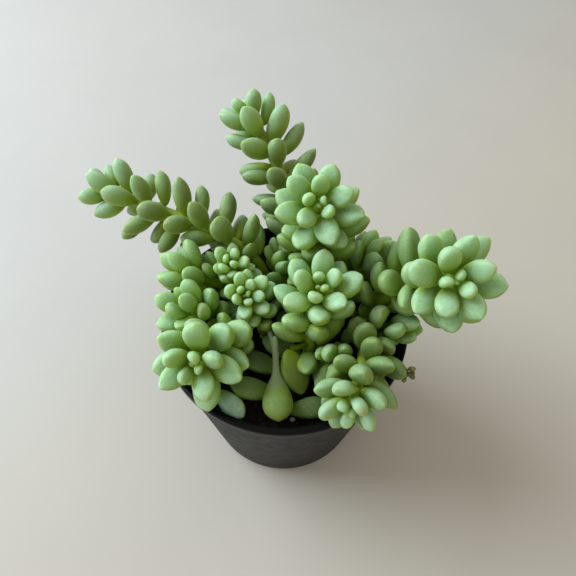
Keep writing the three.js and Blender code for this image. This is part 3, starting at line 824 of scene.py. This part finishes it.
class Finish:
    """A material and its surface shader, wired a node at a time."""

    def __init__(self, name, **sockets):
        self.material = bpy.data.materials.new(name)
        self.material.use_nodes = True
        self.tree = self.material.node_tree
        self.surface = self.tree.nodes["Principled BSDF"]
        for socket, value in sockets.items():
            self.set(self.surface, socket.replace("_", " "), value)

    def set(self, node, socket, value):
        if isinstance(value, bpy.types.NodeSocket):
            self.tree.links.new(value, node.inputs[socket])
        else:
            if hasattr(value, "__len__") and node.inputs[socket].type == "RGBA" and len(value) == 3:
                value = (*value, 1)
            node.inputs[socket].default_value = value

    def node(self, kind, inputs=None, **settings):
        node = self.tree.nodes.new("ShaderNode" + kind)
        for name, value in settings.items():
            setattr(node, name, value)
        for socket, value in (inputs or {}).items():
            self.set(node, socket, value)
        return node

    def place(self):
        """Object coordinates in millimetres."""
        coordinates = self.node("TexCoord").outputs["Object"]
        return self.node("Mapping", {"Vector": coordinates, "Scale": (1 / MM,) * 3}).outputs["Vector"]

    def noise(self, scale, detail=2, roughness=0.5, place=None):
        place = place or self.place()
        inputs = {"Vector": place, "Scale": scale, "Detail": detail, "Roughness": roughness}
        return self.node("TexNoise", inputs).outputs["Fac"]

    def ramp(self, value, low, high, out_low=0.0, out_high=1.0):
        inputs = {"Value": value, "From Min": low, "From Max": high, "To Min": out_low, "To Max": out_high}
        return self.node("MapRange", inputs, interpolation_type="SMOOTHSTEP").outputs["Result"]

    def math(self, operation, a, b=0.0):
        return self.node("Math", {0: a, 1: b}, operation=operation).outputs[0]

    def product(self, first, *others):
        for other in others:
            first = self.math("MULTIPLY", first, other)
        return first

    def grey(self, value):
        return self.node("CombineXYZ", {0: value, 1: value, 2: value}).outputs[0]

    def mix(self, factor, a, b, blend="MIX"):
        node = self.node("Mix", data_type="RGBA", blend_type=blend)
        for socket, value in zip(MIX_INPUTS, (factor, a, b)):
            self.set(node, socket, value)
        return node.outputs[MIX_RESULT]

    def attribute(self, name):
        vector = self.node("Attribute", attribute_name=name).outputs["Vector"]
        return self.node("SeparateXYZ", {"Vector": vector}).outputs

    def paint(self, colour, roughness):
        self.set(self.surface, "Base Color", colour)
        self.set(self.surface, "Roughness", roughness)

    def bump(self, height, distance, strength):
        inputs = {"Height": height, "Distance": distance, "Strength": strength}
        self.set(self.surface, "Normal", self.node("Bump", inputs).outputs["Normal"])


# The way to the window, where the wax is painted thicker as light, and the colours that have no setting:
# the glows are painted light and the deep shade is painted shade
LIT_SIDE = (-0.60, 0.05, 0.80)
RIM_GLOW = (0.37, 0.55, 0.14)
RIM_SHARE = 0.55
OLD_TINT = (0.66, 0.64, 0.80)
TUCKED_GLOW = (0.295, 0.460, 0.040)
DEEP_SHADE = (0.112, 0.190, 0.020)
SPECK = (0.80, 0.88, 0.80)
SHED_FLESH = (0.105, 0.190, 0.020)
PALE_STALK = (0.220, 0.275, 0.150)
OLIVE = (0.165, 0.240, 0.010)
LIME = (0.290, 0.440, 0.014)
DRY_GREEN = (0.105, 0.120, 0.040)
STRAW = (0.300, 0.270, 0.130)


def tinted(colour, tint):
    return tuple(c * t for c, t in zip(colour, tint))


def leaf_finish(name, flesh, root, young, wax, blush, waxy=1.0, neck=0.0, depth=0.0033):
    """Fleshy translucent leaves, with painted light: green glowing at the root, at the rims and where
    leaves touch, painted shade deep in the crown, and a waxy bloom laid thicker where the light reaches.
    """
    finish = Finish(name, Subsurface_Weight=0.80, Subsurface_Radius=(1.0, 1.0, 0.25),
                    Subsurface_Scale=depth, Specular_IOR_Level=0.40, Specular_Tint=(0.80, 1.0, 0.84, 1),
                    Sheen_Weight=0.05, Sheen_Roughness=0.35, Sheen_Tint=(0.70, 1.0, 0.66, 1))
    side, along = finish.attribute("leaf_place")[:2]
    ripe, chance, sheltered = finish.attribute("leaf_kind")[:3]
    tuck = finish.node("Attribute", attribute_name="leaf_tuck").outputs["Fac"]

    old = finish.ramp(ripe, 0.72, 0.97)
    tone = finish.grey(finish.ramp(chance, 0, 1, 0.84, 1.14))
    # Painted light: a leaf's edges and tip glow paler, as light shining through their thin flesh
    rim = finish.math("MAXIMUM", finish.ramp(finish.math("ABSOLUTE", side), 0.78, 1.0, 0, 0.45),
                      finish.ramp(along, 0.86, 1.0, 0, 0.30))
    body = finish.mix(ripe, young, flesh)
    body = finish.mix(old, body, tinted(flesh, OLD_TINT))
    body = finish.mix(1.0, body, tone, "MULTIPLY")
    # At the root: the stalk's colour on a stalked leaf, and on the others a brighter yellow-green painted
    # as light glowing through the crown's recesses
    body = finish.mix(finish.ramp(along, 0.55 - neck, 0.05), body, root)
    # The painted rim glow
    body = finish.mix(rim, body, [f + RIM_SHARE * (glow - f) for f, glow in zip(flesh, RIM_GLOW)])
    # Painted glow where another leaf lies close, as light passing through the touching leaves
    body = finish.mix(finish.ramp(tuck, 0.2, 1.0, 0, 0.75), body, TUCKED_GLOW)
    # Painted shade deep under the crown and under a head above
    body = finish.mix(finish.ramp(sheltered, 0.1, 1, 0, 0.65), body, DEEP_SHADE)

    # Painted light and shade: the wax is laid thicker on the side that faces the window, and thinner where
    # a leaf is tucked in or sheltered; its mottle, the leaf's age and waxiness are its own
    normal = finish.node("TexCoord").outputs["Normal"]
    facing = finish.node("VectorMath", {0: normal, 1: LIT_SIDE}, operation="DOT_PRODUCT").outputs["Value"]
    wax_and_painted_light = finish.product(
        finish.ramp(facing, -0.40, 0.80, 0.06, 0.95),
        finish.ramp(along, 0.10, 0.60, 0.08, 1.0),
        finish.ramp(finish.noise(0.55, 3), 0.3, 0.7, 0.80, 1.15),
        finish.ramp(finish.noise(2.2, 5, 0.75), 0.35, 0.70, 0.78, 1.18),
        waxy,
        finish.ramp(old, 0, 1, 1, 0.50),
        finish.ramp(sheltered, 0, 1, 1, 0.45),
        finish.ramp(tuck, 0.1, 0.9, 1, 0.25),
    )
    colour = finish.mix(wax_and_painted_light, body, wax)
    blushing = finish.product(finish.ramp(along, 0.82, 1.02), finish.ramp(chance, 0.86, 1.0, 0, 0.40))
    colour = finish.mix(blushing, colour, blush)
    speck = finish.node("TexVoronoi", {"Vector": finish.place(), "Scale": 0.42}).outputs["Distance"]
    colour = finish.mix(finish.ramp(speck, 0.050, 0.030, 0, 0.7), colour, SPECK)
    finish.paint(colour, finish.ramp(finish.noise(0.9, 2), 0.25, 0.75, 0.40, 0.56))
    finish.bump(finish.math("ADD", finish.noise(7.0, 3), finish.noise(0.7, 2)), 0.00006, 0.5)
    return finish.material


def stem_finishes(settings):
    """A finish for each kind of stem, and for the two leaves on stalks."""
    look = (settings.root, settings.young, settings.wax, settings.blush)
    # Painted shade: the shaded shoots' flesh is a darker copy, and their wax thinner
    shaded = tinted(settings.flesh, (0.72, 0.80, 0.62))
    fresh = tinted(settings.flesh, (1.25, 1.15, 1.10))
    older = [tinted(colour, (0.96, 0.86, 1.40)) for colour in (settings.flesh, settings.root)]
    grey_wax = tinted(settings.wax, (0.90, 0.87, 0.95))
    return {
        "leaf": leaf_finish("leaf", settings.flesh, *look),
        "older_leaf": leaf_finish("older_leaf", *older, settings.young, grey_wax, settings.blush),
        "young_leaf": leaf_finish("young_leaf", fresh, *look),
        "shaded_leaf": leaf_finish("shaded_leaf", shaded, *look, waxy=0.75),
        "drooping_leaf": leaf_finish("drooping_leaf", LIME, PALE_STALK, *look[1:], waxy=0.5, neck=0.15,
                                     depth=0.0010),
        "hanging_leaf": leaf_finish("hanging_leaf", OLIVE, OLIVE, *look[1:], waxy=0.12),
        "dried_stalk": stalk_finish(),
    }


def pot_finish(settings):
    """Moulded plastic, satin: dark on the lip as painted shade, a little dusty and rubbed down the wall.
    """
    finish = Finish("pot_plastic", Specular_IOR_Level=0.15)
    height = finish.node("SeparateXYZ", {"Vector": finish.place()}).outputs["Z"]
    below_lip = POT_HEIGHT - LIP_HEIGHT - BELOW_LIP
    dust = finish.ramp(finish.noise(0.10, 5, 0.6), 0.35, 0.75, 0, 0.35)
    # Dust and wear only below the lip, which stays dark as painted shade
    wall = finish.ramp(height, POT_HEIGHT - SHADED_LIP_DEPTH, below_lip, 0, 0.45)
    low = finish.ramp(height, LOW_DUST, 0, 0, 0.25)
    worn = finish.math("ADD", finish.math("MULTIPLY", dust, wall), finish.math("ADD", wall, low))
    satin = finish.ramp(height, POT_HEIGHT - SHINE_FADES, below_lip, 0.30, 0.48)
    scuffs = finish.ramp(finish.noise(0.4, 4), 0.3, 0.7, 0, 0.08)
    finish.paint(finish.mix(worn, settings.wall, settings.worn), finish.math("ADD", satin, scuffs))
    finish.bump(finish.math("ADD", finish.noise(5.0, 2), finish.noise(0.5, 2)), 0.000015, 0.5)
    return finish.material


def soil_finish(settings):
    """Damp peat and bark; a crumb's own tone decides which."""
    finish = Finish("potting_soil", Specular_IOR_Level=0.25)
    tone = finish.attribute("crumb_tone")[0]
    patch = finish.ramp(finish.noise(1.3, 6, 0.65), 0.35, 0.75, 0, 0.6)
    bark = finish.math("ADD", patch, finish.math("MULTIPLY", tone, 0.8))
    ground = finish.mix(bark, settings.peat, settings.bark)
    ground = finish.mix(finish.ramp(tone, 1.5, 1.9), ground, settings.grain)
    finish.paint(ground, finish.ramp(finish.noise(2.0, 3), 0.3, 0.7, 0.75, 0.98))
    finish.bump(finish.noise(2.6, 5, 0.7), 0.0004, 0.8)
    return finish.material


def stalk_finish():
    """Dry, woody and streaked."""
    finish = Finish("dried_stalk", Specular_IOR_Level=0.2)
    tone = finish.ramp(finish.noise(1.6, 5, 0.65), 0.3, 0.75)
    finish.paint(finish.mix(tone, DRY_GREEN, STRAW), finish.ramp(tone, 0, 1, 0.6, 0.85))
    finish.bump(finish.noise(3.0, 4), 0.0003, 0.7)
    return finish.material


def floor_finish(settings):
    """A plain pale floor with the least unevenness, painted a little cooler towards the window as the
    window's light.
    """
    finish = Finish("floor", Specular_IOR_Level=0.25)
    place = finish.place()
    x, y = finish.node("SeparateXYZ", {"Vector": place}).outputs[:2]
    # Painted light: cooler towards the window, where its light falls
    painted_window_light = finish.ramp(finish.math("SUBTRACT", y, x), -10, 150)
    pale = finish.mix(painted_window_light, settings.floor, settings.window_side)
    soft = finish.ramp(finish.noise(0.02, 3, place=place), 0.3, 0.7, 1.0, 0.975)
    finish.paint(finish.mix(1.0, pale, finish.grey(soft), "MULTIPLY"), 0.6)
    return finish.material


# Operators

class DressPot(bpy.types.Operator):
    """Turns the pot with its lip, and opens its drain holes"""
    bl_idname = "burros.dress_pot"
    bl_label = "Pot"

    def execute(self, context):
        settings = context.scene.burros_pot
        wall_top = POT_HEIGHT - LIP_HEIGHT
        lip_foot = wall_top - LIP_FOOT
        corner = FLOOR + FLOOR_CORNER
        floor_reach = DRAIN_CIRCLE + DRAIN_RADIUS + DRAIN_MARGIN
        round_lip = [(LIP_RADIUS - LIP_ROUND + LIP_ROUND * math.sin(a),
                      POT_HEIGHT - LIP_ROUND + LIP_ROUND * math.cos(a))
                     for a in np.linspace(math.pi / 2, 0, LIP_ROUND_STEPS)]
        profile = [
            (floor_reach, 0),
            (BASE_RADIUS - BASE_EDGE, 0),
            (BASE_RADIUS - EDGE_EASE, EDGE_EASE),
            (BASE_RADIUS, BASE_EDGE),
            (WALL_TOP_RADIUS, wall_top),
            (LIP_RADIUS - EDGE_EASE, wall_top + LIP_STEP),
            (LIP_RADIUS, wall_top + LIP_ROUND),
            *round_lip,
            (LIP_INSIDE + LIP_EASE[0], POT_HEIGHT),
            (LIP_INSIDE, POT_HEIGHT - LIP_EASE[1]),
            (wall_inside(lip_foot), lip_foot),
            (wall_inside(corner), corner),
            (wall_inside(FLOOR) - FLOOR_CORNER, FLOOR),
            (floor_reach, FLOOR),
        ]
        bm = bmesh.new()
        spin(bm, [(r * MM, h * MM) for r, h in profile], settings.steps, "Z")
        self.close_floor(bm)
        bmesh.ops.recalc_face_normals(bm, faces=bm.faces)
        pot = keep(bm, "nursery_pot", "pot_plastic", pot_finish(settings), "pot")
        bevel = pot.modifiers.new("Soft edges", "BEVEL")
        bevel.width = SOFT_EDGE * MM
        bevel.segments = SOFT_EDGE_STEPS
        bevel.limit_method = "ANGLE"
        bevel.angle_limit = SOFT_EDGE_FROM
        return {"FINISHED"}

    def close_floor(self, bm):
        """Fills the floor's two faces round its drain holes, and joins them through the holes."""
        walls = []
        for height in (0, FLOOR):
            rim = [e for e in bm.edges if e.is_boundary
                   and all(abs(v.co.z - height * MM) < MERGE for v in e.verts)]
            holes = []
            for k in range(DRAIN_HOLES):
                angle = math.tau * (k + 0.5) / DRAIN_HOLES
                place = Matrix.Translation((DRAIN_CIRCLE * math.cos(angle) * MM,
                                            DRAIN_CIRCLE * math.sin(angle) * MM, height * MM))
                ring = bmesh.ops.create_circle(bm, segments=DRAIN_STEPS, radius=DRAIN_RADIUS * MM,
                                               matrix=place)
                holes.append(list({e for v in ring["verts"] for e in v.link_edges}))
            bmesh.ops.triangle_fill(bm, use_beauty=True, edges=rim + [e for hole in holes for e in hole])
            walls.append(holes)
        for low, high in zip(*walls):
            bmesh.ops.bridge_loops(bm, edges=low + high)


class FillSoil(bpy.types.Operator):
    """Fills the pot with potting mix: an uneven top with loose crumbs and white grains"""
    bl_idname = "burros.fill_soil"
    bl_label = "Soil"

    def execute(self, context):
        settings = context.scene.burros_soil
        draw = random.Random(SOIL_SEED)
        bottom = FLOOR + FIT
        edge = wall_inside(SOIL_TOP) - FIT
        rings = [(edge * k / SOIL_RINGS, SOIL_TOP) for k in range(SOIL_RINGS - 1, 0, -1)]
        foot = wall_inside(bottom) - FIT
        profile = [(0, bottom), (foot, bottom), (edge, SOIL_TOP), *rings, (0, SOIL_TOP)]
        bm = bmesh.new()
        spin(bm, [(r * MM, h * MM) for r, h in profile], SOIL_STEPS, "Z")
        bmesh.ops.recalc_face_normals(bm, faces=bm.faces)
        tones = bm.verts.layers.float_vector.new("crumb_tone")
        for v in bm.verts:
            if v.co.z > SOIL_TOP * MM - MERGE:
                x, y = v.co.x / MM, v.co.y / MM
                v.co.z = (soil_height(x, y) + SOIL_GRIT * draw.uniform(-1, 1)) * MM
        for _ in range(settings.crumbs):
            radius = settings.crumb * draw.uniform(*CRUMB_SIZES)
            self.add_grain(bm, draw, edge * math.sqrt(draw.random()), radius, draw.random() ** 2, tones)
        for _ in range(settings.perlite):
            out = edge * math.sqrt(draw.random())
            radius = settings.crumb * draw.uniform(*PERLITE_SIZES)
            self.add_grain(bm, draw, out, radius, PERLITE_TONE, tones)
        keep(bm, "potting_mix", "potting_soil", soil_finish(settings), "soil")
        return {"FINISHED"}

    def add_grain(self, bm, draw, out, radius, tone, tones):
        """One lopsided grain, sunk a little into the soil's top."""
        turn = draw.uniform(0, math.tau)
        out = min(out, wall_inside(SOIL_TOP) - FIT - radius / MM)
        x, y = out * math.cos(turn), out * math.sin(turn)
        place = Matrix.Translation((x * MM, y * MM, soil_height(x, y) * MM + radius * GRAIN_SUNK))
        lie = Matrix.Rotation(draw.uniform(0, math.tau), 4, Vector([draw.gauss(0, 1) for _ in range(3)]))
        shape = Matrix.Diagonal([*(draw.uniform(*sizes) for sizes in GRAIN_SHAPES), 1])
        made = bmesh.ops.create_icosphere(bm, subdivisions=1, radius=radius, matrix=place @ lie @ shape)
        for v in made["verts"]:
            v[tones] = (tone, 0, 0)


class GrowStems(bpy.types.Operator):
    """Grows every leafy stem and shoot, and the dried flower stub"""
    bl_idname = "burros.grow_stems"
    bl_label = "Stems"

    def execute(self, context):
        settings = context.scene.burros_leaf
        curves, leaf = grow()
        templates = leaf_templates()
        finishes = stem_finishes(settings)
        for number, stem in enumerate(STEMS):
            bm = new_leafy_bmesh()
            self.add_stem(bm, stem, curves[number])
            for k in np.flatnonzero(leaf.stem == number):
                if not leaf.gone(k) and leaf.order[k] < GROWN:
                    sheltered = self.shelter(leaf, k, stem.get("shade", 0))
                    add_leaf(bm, templates, leaf, k, sheltered)
            slot = stem.get("slot", "leaf")
            finish = finishes[stem.get("finish", slot)]
            keep(bm, stem["name"] + "_grown", slot, finish, stem["name"], levels=settings.levels)
        for hung in (DROOPING, HANGING):
            self.add_stalked_leaf(templates, hung, finishes[hung["name"]], settings)
        discard(templates)
        return {"FINISHED"}

    def add_stalked_leaf(self, templates, leaf, finish, settings):
        """A leaf that hangs down on a stalk, which runs from the stem into the leaf's own line."""
        bm = new_leafy_bmesh()
        rows = Foliage([stalked_leaf(leaf)])
        overlap = rows.heading[0] * rows.length[0] * leaf["joins"]
        course = Curve(leaf["root"], rows.root[0] - overlap * 2, rows.root[0] - overlap)
        sweep(bm, course, lambda t: leaf["stalk"] * STALK_SLIMNESS, STALK_RINGS)
        add_leaf(bm, templates, rows, 0, 0, leaf["cage"])
        keep(bm, leaf["name"], leaf["slot"], finish, leaf["stem"], levels=settings.levels)

    def add_stem(self, bm, stem, curve):
        """The stem down to below the soil's top; it narrows to its tip."""
        radius = stem.get("radius", STEM_RADIUS)
        foot_top = SOIL_TOP + STEM_START + FOOT_RISE
        foot = Curve((*stem["base"], SOIL_TOP - FOOT_DEPTH), (*stem["base"], foot_top))
        sweep(bm, foot, lambda t: radius * FOOT_SLIMNESS, FOOT_STEPS)
        length = np.linalg.norm(curve.at(1) - curve.at(0))
        taper = STEM_TAPER / length
        steps = max(FEWEST_STEPS, int(length / STEM_STRIDE))
        sweep(bm, curve, lambda t: radius * min(1, STEM_TIP + (1 - STEM_TIP) * (1 - t) / taper), steps)

    def shelter(self, leaf, k, shade):
        """How deep a leaf lies under the crown, 0 to 1, for its painted shade, which fades towards the
        window; shade is what a head above casts on a stem.
        """
        height = leaf.root[k][2] + leaf.heading[k][2] * leaf.length[k] / 2
        under_head = shade * min(1, max(0, (leaf.order[k] - HEAD_LEAVES) / HEAD_FADE))
        from_window = min(1, max(0, 1 + leaf.root[k][0] / WINDOW_FADE))
        return min(1, max(under_head, from_window * (CROWN_TOP - height) / CROWN_FADE, 0))


class LayShedLeaves(bpy.types.Operator):
    """Lays the shed leaves on the soil"""
    bl_idname = "burros.lay_shed_leaves"
    bl_label = "Shed leaves"

    def execute(self, context):
        settings = context.scene.burros_leaf
        templates = leaf_templates()
        rows = Foliage([shed_leaf(leaf, len(STEMS) + k) for k, leaf in enumerate(SHED_LEAVES)])
        for k, leaf in enumerate(SHED_LEAVES):
            bm = new_leafy_bmesh()
            add_leaf(bm, templates, rows, k, leaf["shelter"], "blunt")
            # The tone gives each shed leaf its own colour together with the painted light and shade where
            # it lies
            flesh = [c * leaf["tone"] for c in SHED_FLESH]
            finish = leaf_finish(leaf["name"], flesh, flesh, flesh, leaf["wax"], settings.blush,
                                 waxy=leaf["waxy"])
            keep(bm, leaf["name"] + "_fallen", "shed_leaf", finish, leaf["name"], levels=settings.levels)
        discard(templates)
        return {"FINISHED"}


class SetStage(bpy.types.Operator):
    """Sets the floor, the lights and the camera"""
    bl_idname = "burros.set_stage"
    bl_label = "Stage"

    def execute(self, context):
        settings = context.scene.burros_stage
        self.add_floor(settings)
        self.add_window(settings)
        world = bpy.data.worlds.new("Room light")
        world.use_nodes = True
        background = world.node_tree.nodes["Background"]
        background.inputs["Color"].default_value = ROOM_COLOUR
        background.inputs["Strength"].default_value = settings.fill
        context.scene.world = world
        context.scene.view_settings.view_transform = "Standard"
        context.scene.camera = self.add_camera(settings)
        return {"FINISHED"}

    def add_floor(self, settings):
        bm = bmesh.new()
        bmesh.ops.create_grid(bm, x_segments=1, y_segments=1, size=FLOOR_REACH)
        floor = linked("floor", end_mesh(bm, "floor", floor_finish(settings)))
        floor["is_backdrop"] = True

    def add_window(self, settings):
        """A large soft light on the left, a little behind the plant."""
        light = bpy.data.lights.new("window", "AREA")
        light.size = WINDOW_SIZE
        light.energy = settings.key
        light.color = WINDOW_COLOUR
        lamp = linked("window", light)
        lamp.location = WINDOW_PLACE
        lamp.rotation_euler = (Vector(WINDOW_FACES) - lamp.location).to_track_quat("-Z", "Y").to_euler()

    def add_camera(self, settings):
        """The photograph's view: from above the front, down on the crown."""
        lens = bpy.data.cameras.new("photo_view")
        lens.sensor_width = SENSOR
        lens.lens = settings.focal_pixels / PHOTO_SIDE * lens.sensor_width
        lens.clip_start = CLIP_START
        camera = linked("photo_view", lens)
        turn = Matrix.Rotation(math.radians(90) - settings.elevation, 4, "X")
        roll = Matrix.Rotation(settings.roll, 4, "Z")
        sight = turn @ Vector((0, 0, -1))
        place = Vector(LOOKS_AT) - sight * settings.distance
        camera.matrix_world = Matrix.Translation(place) @ turn @ roll
        return camera


class PlantPanel(bpy.types.Panel):
    """Lists the steps and what each can change"""
    bl_idname = "BURROS_PT_plant"
    bl_label = "Potted burro's tail"
    bl_space_type = "VIEW_3D"
    bl_region_type = "UI"
    bl_category = "Plant"

    def draw(self, context):
        for operator, group in STEPS:
            box = self.layout.box()
            if group:
                settings = getattr(context.scene, group)
                for name in type(settings).__annotations__:
                    box.prop(settings, name)
            box.operator(operator.bl_idname)


# Each step, and the settings that the panel shows above it
STEPS = (
    (DressPot, "burros_pot"),
    (FillSoil, "burros_soil"),
    (GrowStems, "burros_leaf"),
    (LayShedLeaves, None),
    (SetStage, "burros_stage"),
)
CLASSES = (*SETTINGS.values(), *(operator for operator, _ in STEPS), PlantPanel)


def register():
    for each in CLASSES:
        bpy.utils.register_class(each)
    for name, group in SETTINGS.items():
        setattr(bpy.types.Scene, name, PointerProperty(type=group))


def unregister():
    for name in SETTINGS:
        delattr(bpy.types.Scene, name)
    for each in reversed(CLASSES):
        bpy.utils.unregister_class(each)


def main():
    register()
    bpy.ops.burros.dress_pot()
    bpy.ops.burros.fill_soil()
    bpy.ops.burros.grow_stems()
    bpy.ops.burros.lay_shed_leaves()
    bpy.ops.burros.set_stage()
    boxes = {"cad": CAD_BOX, "visual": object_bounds()}
    {name: [list(corner) for corner in box] for name, box in boxes.items()}


if __name__ == "__main__":
    main()
